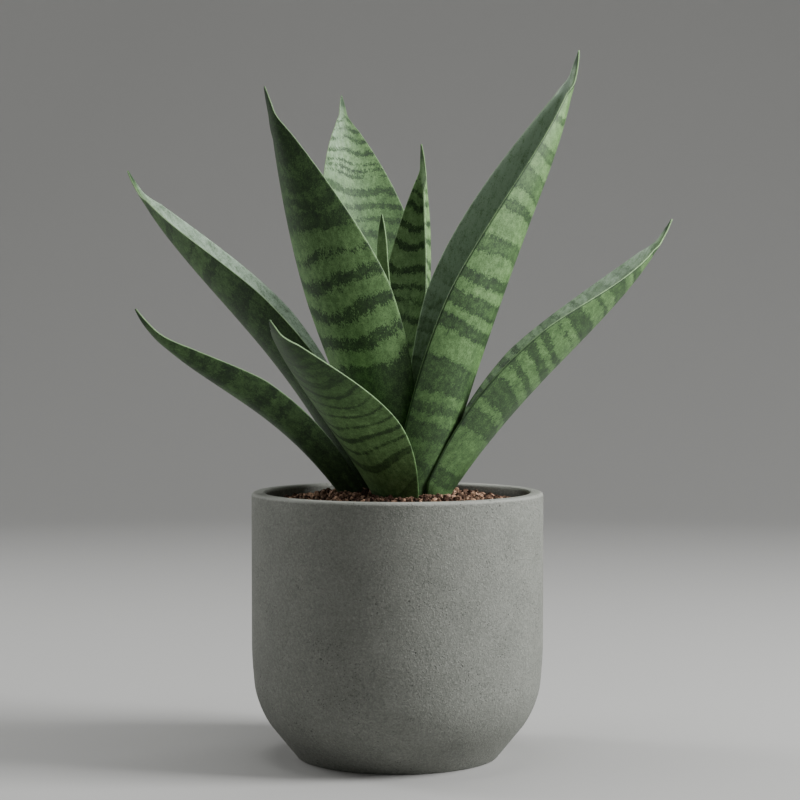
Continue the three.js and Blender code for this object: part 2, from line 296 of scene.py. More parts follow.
# %% [markdown]
# ## Light
# Four soft lamps. The main one stands to the right, a little in front and above, so that round
# forms turn from bright to dark across their front. A weaker one behind on the left draws a bright
# line along the dark side, one overhead reaches into the open channels of the leaves, and a faint
# one in front keeps the faces that look at the viewer from going black.

# %% Light
LAMP_AIM = Vector((0, 0, 0.19))
AIR_STRENGTH = 0.02


def soft_lamp(name, place, size, power):
    """A rectangular lamp that faces the plant. Place and size are in metres, power in watts."""
    lamp_data = bpy.data.lights.new(name, "AREA")
    lamp_data.shape = "RECTANGLE"
    lamp_data.size, lamp_data.size_y = size
    lamp_data.energy = power
    lamp = bpy.data.objects.new(name, lamp_data)
    lamp.location = place
    lamp.rotation_euler = (LAMP_AIM - lamp.location).to_track_quat("-Z", "Y").to_euler()
    bpy.context.scene.collection.objects.link(lamp)


soft_lamp("main_lamp", (1.18, -0.21, 0.88), (0.5, 0.8), 41)
soft_lamp("edge_lamp", (-1.06, 0.46, 0.72), (0.3, 0.8), 8)
soft_lamp("top_lamp", (-0.1, 0.12, 1.35), (0.7, 0.7), 9)
soft_lamp("front_lamp", (0.4, -1.1, 0.75), (0.9, 0.6), 1.2)

world = bpy.data.worlds.new("studio_air")
world.use_nodes = True
world.node_tree.nodes["Background"].inputs["Color"].default_value = (1, 1, 1, 1)
world.node_tree.nodes["Background"].inputs["Strength"].default_value = AIR_STRENGTH
bpy.context.scene.world = world

# %% [markdown]
# ## Pot
# The real pot is cast in a smooth mould: a straight wall that starts to draw in near the bottom and
# bends to a flat foot. It could be built up from a cylinder, but one outline with a corner at each
# change of direction gives the outside, the rim and the inside at once. The corners are rounded on
# the outline, and the outline is spun once round.

# %% Pot outline and body
POT_RADIUS = 70
POT_HEIGHT = 127
POT_WALL = 7
POT_FLOOR = 9
FOOT_RADIUS = 48.3
POT_INSIDE = POT_RADIUS - POT_WALL
POT_OUTLINE = (
    # x and z of each corner, and how far its rounding reaches along its sides
    (0, POT_FLOOR, 0), (46.6, POT_FLOOR, 2.4), (61, 26.8, 9.5), (POT_INSIDE, 49.8, 6.2),
    (POT_INSIDE, POT_HEIGHT, 1.7), (POT_RADIUS, POT_HEIGHT, 1.7), (POT_RADIUS, 49.5, 6.5),
    (67.8, 24, 11.6), (FOOT_RADIUS, 0, 0.6), (0, 0, 0),
)
POT_ROUNDING_STEPS = 8
POT_STEPS = 160

pot_body = bmesh.new()
pot_corners = wire_path(pot_body, [(x, z) for x, z, _ in POT_OUTLINE])
for corner, (_, _, reach) in zip(pot_corners, POT_OUTLINE):
    if reach:
        round_corner(pot_body, corner, reach, POT_ROUNDING_STEPS)
bmesh.ops.scale(pot_body, vec=(MM, MM, MM), verts=pot_body.verts)
spin_round(pot_body, POT_STEPS)
print("pot:", len(pot_body.faces), "faces")

# %% [markdown]
# ## Concrete
# Cast concrete is a grey ground of cement and sand. The grain of the sand is about a millimetre
# wide and gives both the colour and the relief. Soft clouds a centimetre or two wide lie under it,
# and air holes over it: Voronoi cells whose middle is sunk and painted dark, as painted shade in
# the hollow. A few are a millimetre wide, and many more are pin pricks that keep together in
# patches, where air was trapped against the mould. An image of concrete would show a seam round the
# pot, and noise in space shows none.
# The rim is a little lighter, partly from wear and partly as a painted highlight along its rounded
# edge, and one side of the inner wall is darker, as painted shade. Where the two begin and end is
# read from the place on the pot.

# %% Concrete
# each pair is where a mark begins and where it is full, in millimetres
# the rim: wear and a painted highlight
RIM_WEAR_AND_HIGHLIGHT_HEIGHT = (POT_HEIGHT - 1.8, POT_HEIGHT - 0.2)
# painted shade on one side of the inner wall: where it fades below the rim, where it starts, its
# side
WALL_SHADE_TOP = (POT_HEIGHT - 5.5, POT_HEIGHT - 0.8)
WALL_SHADE_HEIGHT = (50, 60)
WALL_SHADE_SIDE = (-50, 20)
WALL_RADIUS = (POT_INSIDE + 0.1, POT_INSIDE + 1.5)


def concrete_marks(finish, where):
    """Masks for the rim's wear and painted highlight, and for painted shade on the inner wall."""
    x, y, z = (finish.node("ShaderNodeSeparateXYZ", inputs={"Vector": where}, output=axis)
               for axis in "XYZ")
    x, y, z = x * (1 / MM), y * (1 / MM), z * (1 / MM)
    inside = 1 - (x * x + y * y).between(*(radius ** 2 for radius in WALL_RADIUS))
    inner_wall_shade = inside * z.between(*WALL_SHADE_HEIGHT) * (1 - z.between(*WALL_SHADE_TOP))
    return z.between(*RIM_WEAR_AND_HIGHLIGHT_HEIGHT), inner_wall_shade * x.between(*WALL_SHADE_SIDE)


def concrete_finish():
    finish = Finish("cast_concrete", Specular_IOR_Level=0.3)
    where = finish.place()
    clouds = finish.cloud(where, scale=60, detail=3, roughness=0.55)
    sand = finish.cloud(where, scale=1300, detail=2, roughness=0.6)
    grit = finish.cloud(where, scale=620, detail=3, roughness=0.6)
    grains = finish.cloud(where, scale=1000, detail=1).between(0.6, 0.68)
    airy = finish.cloud(where, scale=70, detail=2)
    holes = finish.pits(where, 240, 0.06, 0.14) * airy.between(0.6, 0.64)
    pricks = finish.pits(where, 760, 0.1, 0.24) * airy.between(0.46, 0.62)
    rim_wear_and_highlight, inner_wall_shade = concrete_marks(finish, where)
    # the rim is lightened, partly by wear and partly as a painted highlight
    tone = sand * 0.55 + grit * 0.45 + clouds * 0.24 + grains * 0.14 + rim_wear_and_highlight * 0.4
    ground = finish.blend(tone.between(0.22, 1.04), colour(86, 89, 83), colour(142, 144, 137))
    # air holes and pin pricks are painted dark, as painted shade in their hollows
    pitted = finish.blend(holes * 0.5 + pricks * 0.5, ground, colour(52, 52, 49))
    height = sand * 0.5 + grit * 0.4 + grains * 0.3 - holes * 1.5 - pricks
    return finish.surface(
        # painted shade darkens one side of the inner wall
        Base_Color=finish.blend(inner_wall_shade * 0.75, pitted, colour(50, 50, 46)),
        Roughness=0.7 + grit * 0.2 - rim_wear_and_highlight * 0.2,
        Normal=finish.relief(height, depth=0.0005, strength=0.9),
    )


pot = piece_from(pot_body, "concrete_pot", concrete_finish())
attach(pot, "root")
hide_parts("pot")
print("pot mesh:", len(pot.data.vertices), "points")

# %% [markdown]
# ## Leaves
# A leaf of this plant is one thick blade, folded into a channel, that narrows to its foot and ends
# in a stiff point. A blade could be pulled into shape by hand, but nine of them are made sooner and
# stay easier to change when one helper bends a flat grid. The long side of the grid becomes the way
# from foot to tip, and its short side goes once round the blade: over the inner face to the far
# margin and back over the outer face. The sizes that all the blades share come first.

# %% Leaf sizes
LEAF_FOOT_HEIGHT = 111
LEAF_EDGE = 0.8
LEAF_MIDDLE_AT_FOOT = 3
LEAF_MIDDLE_AT_TIP = 1.5
CUSP_LENGTH = 11
CUSP_BLEND = 18
CUSP_HALF_WIDTH = 2.3
TIP_HALF_WIDTH = 0.45
TIP_FULLNESS = 0.85
# where half the width falls below these, the blade loses its channel, then its thickness
FLAT_BELOW = 8
THIN_BELOW = 6
NECK_LENGTH = 14
NECK_SHARE = 0.45
ROUND_STEPS = 44
LENGTH_STEPS = 170

print("grid of a blade:", ROUND_STEPS, "by", LENGTH_STEPS, "faces")

# %% [markdown]
# What differs from leaf to leaf is a row of this table. Its numbers are what a grower would note
# down: where the leaf stands, how long and wide it is, which way it grows and leans, and where its
# dark bands and its grey bloom of wax lie. Some of them paint light and shade as well: the level of
# the light green, the broad bands at the foot, a painted sheen in the bloom and a dark line of
# painted shade beside a margin.

# %% Leaf table
# foot: where the leaf stands, and length and width: those of the flat blade, in millimetres
# azimuth, channel and twist: which way the leaf grows, how far its section folds and how far it
# is turned, in degrees at the foot and at the tip
# lean: how far it leans from upright, in degrees at four places that blend smoothly
# foot_share: how wide the blade starts, as a share of its whole width
# widest_at: where the blade is widest, as a share of its length
# taper: how long it stays wide after that
# bands: start and end of each dark band in millimetres from the foot, and how dark it is; a broad
# band from the foot is partly painted shade low in the plant
# pale: how light the green between the bands is at places along the leaf, partly the leaf's own
# green and partly painted light and shade: lighter where a leaf is lit, darker where others shade
# it
# bloom: how much grey bloom of wax lies on the inner face at places along the leaf, partly real
# wax and partly a painted sheen and painted light
# bloom_side: the margin that the bloom and its painted sheen keep to, -1 or 1, or 0 for both
# veil: how far the bloom and its painted sheen hide the bands under them
# ragged: how rough the edges of a band are
# slant, bow and wave: how far a band climbs at one margin, at both margins and in between, in
# millimetres
# seam: how dark the line of painted shade beside one margin is
LEAVES = {
    "leaf_low_left": {
        "foot": (-17, 2.5), "length": 156, "width": 35, "azimuth": (196, 216),
        "lean": (35, 36, 89, 33), "channel": (130, 75), "twist": (-13, -10),
        "foot_share": 0.56, "widest_at": 0.58, "taper": 1.3,
        "bands": ((0, 46, 0.6), (50, 55, 0.7), (66, 69, 0.9), (76, 82, 0.95), (98, 106, 0.95),
                  (112, 115, 0.8), (119, 122, 0.8), (128, 131, 0.7)),
        "pale": ((0, 0.28), (60, 0.42), (110, 0.45), (156, 0.42)),
        "bloom": ((0, 0), (156, 0.3)),
        "bloom_side": 0, "veil": 0,
        "ragged": 0.6, "slant": 0, "bow": 2, "wave": 1, "seam": 0,
    },
    "leaf_mid_left": {
        "foot": (-15.5, 20), "length": 224, "width": 68, "azimuth": (170, 143),
        "lean": (22, 38, 59, 33), "channel": (145, 100), "twist": (-19, -6),
        "foot_share": 0.48, "widest_at": 0.52, "taper": 1.45,
        "bands": ((0, 60, 0.75), (76, 84, 0.6), (96, 105, 0.6), (112, 122, 0.8), (137, 143, 0.8),
                  (155, 158, 0.7), (172, 178, 0.5), (190, 196, 0.5)),
        "pale": ((0, 0.22), (90, 0.34), (140, 0.46), (170, 0.47), (225, 0.48)),
        "bloom": ((0, 0.8), (40, 1), (195, 0.8), (224, 0.3)),
        "bloom_side": -1, "veil": 1,
        "ragged": 0.5, "slant": 0, "bow": 3, "wave": 1.5, "seam": 0,
    },
    "leaf_front": {
        "foot": (-0.5, -18), "length": 167, "width": 56, "azimuth": (224, 264),
        "lean": (23, 60, 62, 69), "channel": (75, 65), "twist": (-3, 34),
        "foot_share": 0.4, "widest_at": 0.4, "taper": 1.7,
        "bands": ((0, 18, 0.3), (33, 38, 0.5), (45, 47, 0.8), (53, 56, 0.9), (62, 64, 0.9),
                  (71, 73, 0.9), (80, 82, 0.9), (90, 93, 0.9), (100, 106, 0.7), (111, 113, 0.7),
                  (119, 122, 0.6), (128, 130, 0.6)),
        "pale": ((0, 0.64), (50, 0.68), (100, 0.47), (130, 0.3), (167, 0.27)),
        "bloom": ((0, 0), (167, 0.3)),
        "bloom_side": 0, "veil": 0,
        "ragged": 0.2, "slant": 1.5, "bow": 5, "wave": 1.5, "seam": 0,
    },
    "leaf_tall_left": {
        "foot": (0, -7.5), "length": 217, "width": 63, "azimuth": (215, 187),
        "lean": (10, 33, 15, 14), "channel": (125, 70), "twist": (-32, -30),
        "foot_share": 0.28, "widest_at": 0.54, "taper": 1.5,
        "bands": ((0, 79, 0.7), (88, 94, 0.85), (102.5, 108.5, 0.87), (118, 124, 0.87),
                  (132, 135, 0.85), (147, 155, 0.7), (158, 162, 0.75), (166, 175, 0.6),
                  (181, 217, 0.8)),
        "pale": ((0, 0.45), (84, 0.74), (140, 0.66), (158, 0.44), (180, 0.38), (217, 0.26)),
        "bloom": ((0, 0), (217, 0.3)),
        "bloom_side": 0, "veil": 0,
        "ragged": 0.75, "slant": -2, "bow": 2, "wave": 1.6, "seam": 0,
    },
    "leaf_back": {
        "foot": (-5.5, 33.5), "length": 244, "width": 63, "azimuth": (112, 99),
        "lean": (7, 25, 37, 29), "channel": (110, 70), "twist": (-5, -21),
        "foot_share": 0.38, "widest_at": 0.58, "taper": 1.65,
        "bands": ((0, 60, 0.6), (90, 96, 0.5), (110, 116, 0.5), (130, 136, 0.6), (151, 155, 0.6),
                  (161, 164, 0.65), (169, 173, 0.65), (178, 183, 0.7), (190, 191.5, 0.8),
                  (194, 196, 0.8), (198, 200, 0.8), (205, 208, 0.85), (214, 216.5, 0.75),
                  (221, 223, 0.7), (228, 230, 0.6)),
        "pale": ((0, 0.36), (100, 0.48), (160, 0.52), (200, 0.7), (244, 0.45)),
        "bloom": ((0, 0), (150, 0.1), (185, 0.35), (205, 0.5), (244, 0.45)),
        "bloom_side": 1, "veil": 0,
        "ragged": 0.4, "slant": -1.2, "bow": -3.5, "wave": 1.2, "seam": 0,
    },
    "leaf_middle": {
        "foot": (-2.5, 24), "length": 194, "width": 42, "azimuth": (60, 69),
        "lean": (-5, 46, 17, -19), "channel": (105, 150), "twist": (-7, 34),
        "foot_share": 0.34, "widest_at": 0.62, "taper": 1.9,
        "bands": ((0, 84, 0.5), (88, 92, 0.6), (101, 104, 0.7), (111, 113.5, 0.6),
                  (118, 121, 0.7), (127, 131, 0.7), (140, 143.5, 0.7), (150, 153, 0.7),
                  (160, 163, 0.65), (167, 169, 0.6), (173, 175, 0.6)),
        "pale": ((0, 0.5), (100, 0.72), (150, 0.88), (194, 0.7)),
        "bloom": ((0, 0), (194, 0.1)),
        "bloom_side": 0, "veil": 0,
        "ragged": 0.42, "slant": 0, "bow": 2, "wave": 1.2, "seam": 0,
    },
    "leaf_new_spear": {
        "foot": (-1.5, 4.5), "length": 150, "width": 13, "azimuth": (78, 74),
        "lean": (-8, -15, -12, -2), "channel": (160, 100), "twist": (1, -4),
        "foot_share": 0.42, "widest_at": 0.44, "taper": 2.2,
        "bands": ((0, 60, 0.4),),
        "pale": ((0, 0.6), (100, 0.8), (150, 0.7)),
        "bloom": ((0, 0), (150, 0.1)),
        "bloom_side": 0, "veil": 0,
        "ragged": 0.4, "slant": 0, "bow": 0, "wave": 0, "seam": 0,
    },
    "leaf_tall_right": {
        "foot": (9, -7.5), "length": 245, "width": 83, "azimuth": (5, 33),
        "lean": (31, -1, 40, 11), "channel": (180, 180), "twist": (15, -15),
        "foot_share": 0.54, "widest_at": 0.46, "taper": 1.4,
        "bands": ((0, 30, 0.5), (40, 48, 0.6), (53, 57, 0.5), (62, 78, 0.62), (91, 98, 0.72),
                  (103, 111, 0.65), (116, 122, 0.75), (131, 139, 0.5), (152, 157, 0.6),
                  (163, 176, 0.45), (184, 191, 0.45), (204, 208, 0.4), (225, 232, 0.4)),
        "pale": ((0, 0.36), (50, 0.52), (85, 0.64), (150, 0.72), (245, 0.76)),
        "bloom": ((0, 0), (60, 0.3), (110, 0.9), (150, 1.05), (245, 1.25)),
        "bloom_side": 1, "veil": 0.86,
        "ragged": 0.42, "slant": 0, "bow": 1, "wave": 1.2, "seam": 0.8,
    },
    "leaf_low_right": {
        "foot": (16, -10.4), "length": 207, "width": 71, "azimuth": (26, 33),
        "lean": (34, 48, 60, 32), "channel": (145, 75), "twist": (31, 3),
        "foot_share": 0.36, "widest_at": 0.52, "taper": 1.4,
        "bands": ((0, 14, 0.4), (20, 28, 0.6), (48, 57, 0.7), (62, 74, 0.75), (80, 84, 0.65),
                  (90, 96, 0.85), (100, 104, 0.8), (112, 113.5, 0.65), (118, 128, 0.75),
                  (137, 140, 0.65), (146, 157, 0.6), (164, 172, 0.6), (185, 190, 0.55)),
        "pale": ((0, 0.5), (30, 0.5), (80, 0.58), (150, 0.64), (207, 0.68)),
        "bloom": ((0, 0), (100, 0.2), (150, 0.6), (207, 0.8)),
        "bloom_side": 1, "veil": 1,
        "ragged": 0.42, "slant": 4, "bow": 0, "wave": 1, "seam": 0.8,
    },
}
print("leaves:", len(LEAVES))

# %% [markdown]
# The middle line of a blade is followed in short steps from its foot. At every step the blade has
# three directions: along, across and out of its inner face. The width comes from one formula that
# opens out from the foot, narrows to the tip and hands over to the stiff point.

# %% Leaf middle line and width
MIDDLE_LINE_SUBSTEPS = 4


def between(pair, share):
    return pair[0] + (pair[1] - pair[0]) * share


def blade_directions(leaf, share):
    """The unit vectors along the blade, across it and out of its inner face."""
    rest = 1 - share
    first, second, third, last = leaf["lean"]
    lean = math.radians(first * rest ** 3 + 3 * second * share * rest ** 2
                        + 3 * third * share ** 2 * rest + last * share ** 3)
    azimuth = math.radians(between(leaf["azimuth"], share))
    twist = math.radians(between(leaf["twist"], share))
    outward = Vector((math.cos(azimuth), math.sin(azimuth), 0))
    level = Vector((-math.sin(azimuth), math.cos(azimuth), 0))
    up = Vector((0, 0, 1))
    along = up * math.cos(lean) + outward * math.sin(lean)
    facing = up * math.sin(lean) - outward * math.cos(lean)
    across = level * math.cos(twist) - facing * math.sin(twist)
    inner = facing * math.cos(twist) + level * math.sin(twist)
    return along, across, inner


def half_width(leaf, share):
    """Half the width of the flat blade. Where blade and stiff point overlap, the wider one wins."""
    blade_share = min(share / (1 - CUSP_LENGTH / leaf["length"]), 1)
    rise = math.sin(math.pi / 2 * min(blade_share / leaf["widest_at"], 1))
    past = max(blade_share - leaf["widest_at"], 0) / (1 - leaf["widest_at"])
    neck = between((NECK_SHARE, 1), min(share * leaf["length"] / NECK_LENGTH, 1))
    narrowing = max(1 - past ** leaf["taper"], 0) ** TIP_FULLNESS
    fullness = between((leaf["foot_share"], 1), rise) * narrowing * neck
    to_tip = min((1 - share) * leaf["length"] / CUSP_BLEND, 1)
    cusp = CUSP_HALF_WIDTH * math.sin(math.pi / 2 * to_tip) + TIP_HALF_WIDTH
    return ((leaf["width"] / 2 * fullness) ** 4 + cusp ** 4) ** 0.25


def blade_stations(leaf):
    """For each row of the grid: place, across, inner, half width and share of the length."""
    run = leaf["length"] / (LENGTH_STEPS * MIDDLE_LINE_SUBSTEPS)
    place = Vector((leaf["foot"][0], leaf["foot"][1], LEAF_FOOT_HEIGHT))
    stations = []
    for row in range(LENGTH_STEPS + 1):
        share = row / LENGTH_STEPS
        _, across, inner = blade_directions(leaf, share)
        stations.append((place.copy(), across, inner, half_width(leaf, share), share))
        for step in range(MIDDLE_LINE_SUBSTEPS):
            middle = min(share + (step + 0.5) * run / leaf["length"], 1)
            place += blade_directions(leaf, middle)[0] * run
    return stations


print("tip of the tallest leaf:", blade_stations(LEAVES["leaf_tall_right"])[-1][0])

# %% [markdown]
# Across the blade the surface tilts more and more towards the margins, which makes the channel. The
# outer face follows that section, and the flesh lies inside it: thickest in the middle of the blade
# and rounded off over the last fraction of a millimetre at the margin.

# %% Leaf section
SECTION_STEPS = 12


def tilt_at(reach, curl):
    """How far the section leans at a reach from -1 to 1. It levels out towards the margins."""
    return curl / 2 * (1.5 * reach - 0.5 * reach ** 3)


def channel_point(reach, curl):
    """Sideways offset and rise of a section of half width one."""
    side = rise = 0
    for step in range(SECTION_STEPS):
        tilt = tilt_at((step + 0.5) / SECTION_STEPS * reach, curl)
        side += math.cos(tilt) * reach / SECTION_STEPS
        rise += math.sin(tilt) * reach / SECTION_STEPS
    return side, rise


def face_depth(share, half, reach, face):
    """How far a face lies inside the outer skin. face is 1 inside, -1 outside, 0 at a margin."""
    full = between((LEAF_MIDDLE_AT_FOOT, LEAF_MIDDLE_AT_TIP), share) - LEAF_EDGE
    thickness = LEAF_EDGE + full * min(half / THIN_BELOW, 1) * (1 - reach ** 2)
    from_margin = min((1 - abs(reach)) * half / (LEAF_EDGE / 2), 1)
    rounding = math.sqrt(1 - (1 - from_margin) ** 2)
    return thickness / 2 * (1 + face * rounding)


print("a fold of 180 degrees reaches sideways by", round(channel_point(1, math.pi)[0], 3))

# %% [markdown]
# The skin's marks follow the blade, so the finish has to know where on the blade it is. Each point
# of the mesh carries numbers for that: how far it lies along and across the leaf and from its
# margin and tip, how far inside a dark band, and how much grey bloom of wax with its painted sheen
# covers it. They are worked out here, where the blade's own measures are at hand, and kept as float
# layers of the mesh. Two of them also carry painted light and shade: the level of the light green
# and the dark line beside a margin.

# %% Leaf readings
READINGS = ("along_mm", "across_mm", "margin_mm", "tip_mm", "inner_face", "band_mm", "band_depth",
            "pale_level", "ragged_share", "bloom_level", "seam_level", "leaf_seed")
WAVES_ACROSS = 4.6
WAVES_ALONG = 0.08
BLOOM_AND_SHEEN_IN_MIDDLE = 0.6
BLOOM_AND_SHEEN_TO_SIDE = 0.6


def level_at(places, along):
    """Blends between the given places along a leaf."""
    for (start, first), (end, last) in zip(places, places[1:]):
        if along <= end:
            return between((first, last), (along - start) / (end - start))
    return places[-1][1]


def nearest_band(bands, along):
    """How far a place lies inside a dark band, less than zero between bands, and its depth."""
    return max((min(along - start, end - along), depth) for start, end, depth in bands)


def point_readings(leaf, seed, share, half, reach, face):
    """The numbers of one point, in the order of READINGS."""
    along = share * leaf["length"]
    climb = leaf["slant"] * reach + leaf["bow"] * reach ** 2
    climb += leaf["wave"] * math.sin(reach * WAVES_ACROSS + along * WAVES_ALONG + seed)
    band_mm, band_depth = nearest_band(leaf["bands"], along - climb)
    # the grey bloom of wax and its painted sheen keep to one margin of the inner face
    bloom_and_sheen_share = BLOOM_AND_SHEEN_IN_MIDDLE + leaf["bloom_side"] * reach * BLOOM_AND_SHEEN_TO_SIDE
    bloom_level = level_at(leaf["bloom"], along) * min(max(bloom_and_sheen_share, 0), 1)
    # under the bloom and its painted sheen the bands fade
    if face > 0:
        band_depth *= 1 - leaf["veil"] * min(bloom_level, 1)
    return (along, reach * half, (1 - abs(reach)) * half, leaf["length"] - along, (face + 1) / 2,
            band_mm, band_depth, level_at(leaf["pale"], along), leaf["ragged"], bloom_level,
            leaf["seam"] if reach < 0 else 0, seed)


print("readings at each point:", len(READINGS))

# %% [markdown]
# Now the grid is bent. A point's place across the grid becomes an angle once round the section, so
# points crowd together at the margins, where the surface turns sharply. The two long sides of the
# grid meet there and are merged, and the open ends at foot and tip are closed.

# %% Blades
MARGIN_REACH = 0.99999
SEED_STEP = 7


def make_blade(leaf, seed):
    blade = bmesh.new()
    blade.loops.layers.uv.new("UVMap")
    bmesh.ops.create_grid(blade, x_segments=ROUND_STEPS, y_segments=LENGTH_STEPS, size=0.5,
                          calc_uvs=True)
    layers = [blade.verts.layers.float.new(key) for key in READINGS]
    stations = blade_stations(leaf)
    for point in blade.verts:
        turn = point.co.x + 0.5
        place, across, inner, half, share = stations[round((point.co.y + 0.5) * LENGTH_STEPS)]
        reach = -math.cos(2 * math.pi * turn)
        face = 0 if abs(reach) > MARGIN_REACH else (1 if turn < 0.5 else -1)
        curl = math.radians(between(leaf["channel"], share)) * min(half / FLAT_BELOW, 1)
        side, rise = channel_point(reach, curl)
        tilt = tilt_at(reach, curl)
        normal = inner * math.cos(tilt) - across * math.sin(tilt)
        depth = face_depth(share, half, reach, face)
        point.co = (place + across * side * half + inner * rise * half + normal * depth) * MM
        for layer, value in zip(layers, point_readings(leaf, seed, share, half, reach, face)):
            point[layer] = value
    bmesh.ops.remove_doubles(blade, verts=blade.verts, dist=MERGE_GAP)
    bmesh.ops.holes_fill(blade, edges=[edge for edge in blade.edges if edge.is_boundary], sides=0)
    bmesh.ops.recalc_face_normals(blade, faces=blade.faces)
    return blade


blades = {name: make_blade(leaf, SEED_STEP * index)
          for index, (name, leaf) in enumerate(LEAVES.items())}
print("blade faces:", sum(len(blade.faces) for blade in blades.values()))

# %% [markdown]
# ## Leaf skin
# The skin is banded: dark green bands with ragged teeth on a lighter, mottled green. Noise that
# changes fast across the leaf and slowly along it pushes the edge of a band up and down, which
# draws the teeth. A faint band is darkest along its edge, and that fringe is drawn as well.

# %% Leaf bands
# in millimetres inside a band: where the dark green starts, and where its fringe ends
BAND_EDGE = (-0.5, 0.8)
FRINGE_END = (1.0, 3.0)


class LeafSkin(Finish):
    """The finish of a leaf, which reads what each point of the mesh carries."""

    def __init__(self):
        super().__init__("snake_plant_skin", Specular_IOR_Level=0.28)
        self.read = {key: self.reading(key) for key in READINGS}

    def streaks(self, across_scale, along_scale, shift, detail=3, roughness=0.6):
        """Noise stretched along the leaf. The scales are in cells to the millimetre."""
        where = self.spot(self.read["across_mm"] * across_scale,
                          self.read["along_mm"] * along_scale,
                          self.read["leaf_seed"] + shift)
        return self.cloud(where, detail=detail, roughness=roughness)


def band_marks(skin):
    """How far inside a ragged band a point lies, in millimetres, and how dark that makes it."""
    wave = skin.streaks(0.08, 0.05, 2, detail=1) * 6 - 3
    lobes = skin.streaks(0.3, 0.18, 0, roughness=0.7) * 14 - 7
    teeth = skin.streaks(1.5, 0.75, 1, roughness=0.7) * 18 - 9
    inside = skin.read["band_mm"] + (wave + lobes + teeth) * skin.read["ragged_share"]
    depth = skin.read["band_depth"]
    band = inside.between(*BAND_EDGE)
    fringe = band * (1 - inside.between(*FRINGE_END)) * (1 - depth) * depth * 1.2
    return inside, band * depth + fringe


print("band edge:", BAND_EDGE, "mm")

# %% [markdown]
# Light and dark parts share one ramp of greens, and each has a tone of its own that the mottles and
# the grain push up and down. Dark flecks gather on the light green close to a band. The inner face
# carries a grey bloom of wax with a painted sheen, which lies in wisps, and on some leaves all but
# hides the bands.

# %% Leaf greens, bloom and painted sheen
LEAF_GREENS = (
    (0.0, colour(22, 38, 19)), (0.25, colour(44, 68, 35)), (0.5, colour(76, 108, 60)),
    (0.75, colour(112, 146, 92)), (1.0, colour(150, 180, 126)),
)
# the grey of the wax bloom, light enough to paint a sheen and light on the inner faces
BLOOM_AND_SHEEN_GREY = colour(164, 184, 165)
FLECK_REACH = (-8, 0)


def skin_green(skin, mottles, grain, specks):
    """The green of the skin, and how dark its bands are."""
    inside, dark = band_marks(skin)
    clouds = skin.streaks(0.1, 0.05, 4, detail=2)
    flecks = skin.streaks(1.1, 0.6, 9, roughness=0.7).between(0.56, 0.63)
    flecks = flecks * inside.between(*FLECK_REACH)
    # the pale level carries painted light and shade along each leaf, as well as its own green
    light_tone = skin.read["pale_level"] * 0.85 + mottles * 0.9 + clouds * 0.3 + grain - 1.08
    light_tone = light_tone - specks * 0.2 - flecks * 0.16
    dark_tone = mottles + grain * 0.8 + clouds * 0.2 - 0.82
    tone = light_tone * (1 - dark) + dark_tone * dark
    return skin.node("ShaderNodeValToRGB", {"stops": LEAF_GREENS}, {0: tone}), dark


def with_bloom_and_sheen(skin, green, dark, mottles, specks):
    """The skin with its grey bloom of wax and painted sheen, which is thinner over the bands."""
    wisps = skin.streaks(0.5, 0.1, 7, detail=4, roughness=0.7)
    cover = skin.read["inner_face"] * skin.read["bloom_level"] * (1 - dark * 0.8)
    frost = cover * (wisps * 1.6 + mottles * 1.4 - specks * 0.4 - 0.65)
    return skin.blend(frost.between(-0.1, 1.1), green, BLOOM_AND_SHEEN_GREY)


print("greens:", len(LEAF_GREENS))

# %% [markdown]
# A thin pale green line ends the margin. It fades towards the foot and the tip. Two leaves have a
# dark line of painted shade just inside one margin, and the stiff point of every leaf has a dark
# core. The relief is faint: fine grooves that run the length of a blade, and a trace of the
# mottles.

# %% Leaf margins, tip and finish
# in millimetres from the margin
LINE_EDGE = (0.08, 0.3)
CORE_EDGE = (0.15, 0.6)
# where the painted shade beside one margin begins and ends
MARGIN_SHADE_INNER = (0.7, 1.1)
MARGIN_SHADE_OUTER = (0.25, 0.45)
# in millimetres from the foot, and from the tip
LINE_FROM_FOOT = (15, 85)
LINE_FROM_TIP = (-8, 10)
CORE_FROM_TIP = (6, 11)


def with_margins(skin, ground):
    margin, tip = skin.read["margin_mm"], skin.read["tip_mm"]
    core = (1 - tip.between(*CORE_FROM_TIP)) * margin.between(*CORE_EDGE)
    cored = skin.blend(core * 0.8, ground, colour(24, 52, 24))
    # seam: a dark line of painted shade just inside one margin
    seam = margin.between(*MARGIN_SHADE_OUTER) * (1 - margin.between(*MARGIN_SHADE_INNER))
    margin_shaded = skin.blend(seam * skin.read["seam_level"], cored, colour(26, 48, 26))
    line = (1 - margin.between(*LINE_EDGE)) * skin.read["along_mm"].between(*LINE_FROM_FOOT)
    line = line * tip.between(*LINE_FROM_TIP)
    return skin.blend(line * 0.6, margin_shaded, colour(138, 166, 122))


def leaf_finish():
    skin = LeafSkin()
    mottles = skin.streaks(0.4, 0.26, 3, detail=5, roughness=0.75)
    grain = skin.streaks(2.0, 1.3, 5, detail=2, roughness=0.7)
    specks = grain.between(0.55, 0.63)
    green, dark = skin_green(skin, mottles, grain, specks)
    # the inner face gets its bloom of wax with a painted sheen
    bloom_and_sheen_skin = with_bloom_and_sheen(skin, green, dark, mottles, specks)
    grooves = skin.streaks(3.2, 0.1, 8, detail=2) * 0.6 + mottles * 0.4
    return skin.surface(
        Base_Color=with_margins(skin, bloom_and_sheen_skin),
        Roughness=0.46 + mottles * 0.2,
        Normal=skin.relief(grooves, depth=0.00012, strength=0.8),
    )


leaf_skin = leaf_finish()
leaves = {}
for name in LEAVES:
    leaves[name] = piece_from(blades[name], name + "_blade", leaf_skin)
    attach(leaves[name], "root")
    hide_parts(name)
print("leaf objects:", len(leaves))

